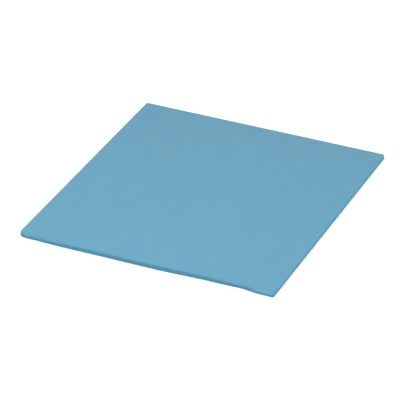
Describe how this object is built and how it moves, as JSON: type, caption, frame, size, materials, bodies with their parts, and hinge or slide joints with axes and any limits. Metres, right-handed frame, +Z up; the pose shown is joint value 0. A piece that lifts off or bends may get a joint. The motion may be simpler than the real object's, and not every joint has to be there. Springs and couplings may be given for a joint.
{
  "type": "thermal pad sheet",
  "caption": "Square sheet of soft blue silicone gap filler that carries heat from a chip to a heatsink.",
  "frame": {"origin": "under the middle of the sheet, on the face that it lies on", "axes": "+Z up out of the top face, through the thickness; +X along the front edge, which is the hand-trimmed one; +Y from that edge to the back"},
  "size_m": [0.05, 0.05, 0.001],
  "materials": {
    "silicone": "matte"
  },
  "bodies": {
    "root": {"thermal_pad": "silicone"}
  },
  "joints": []
}
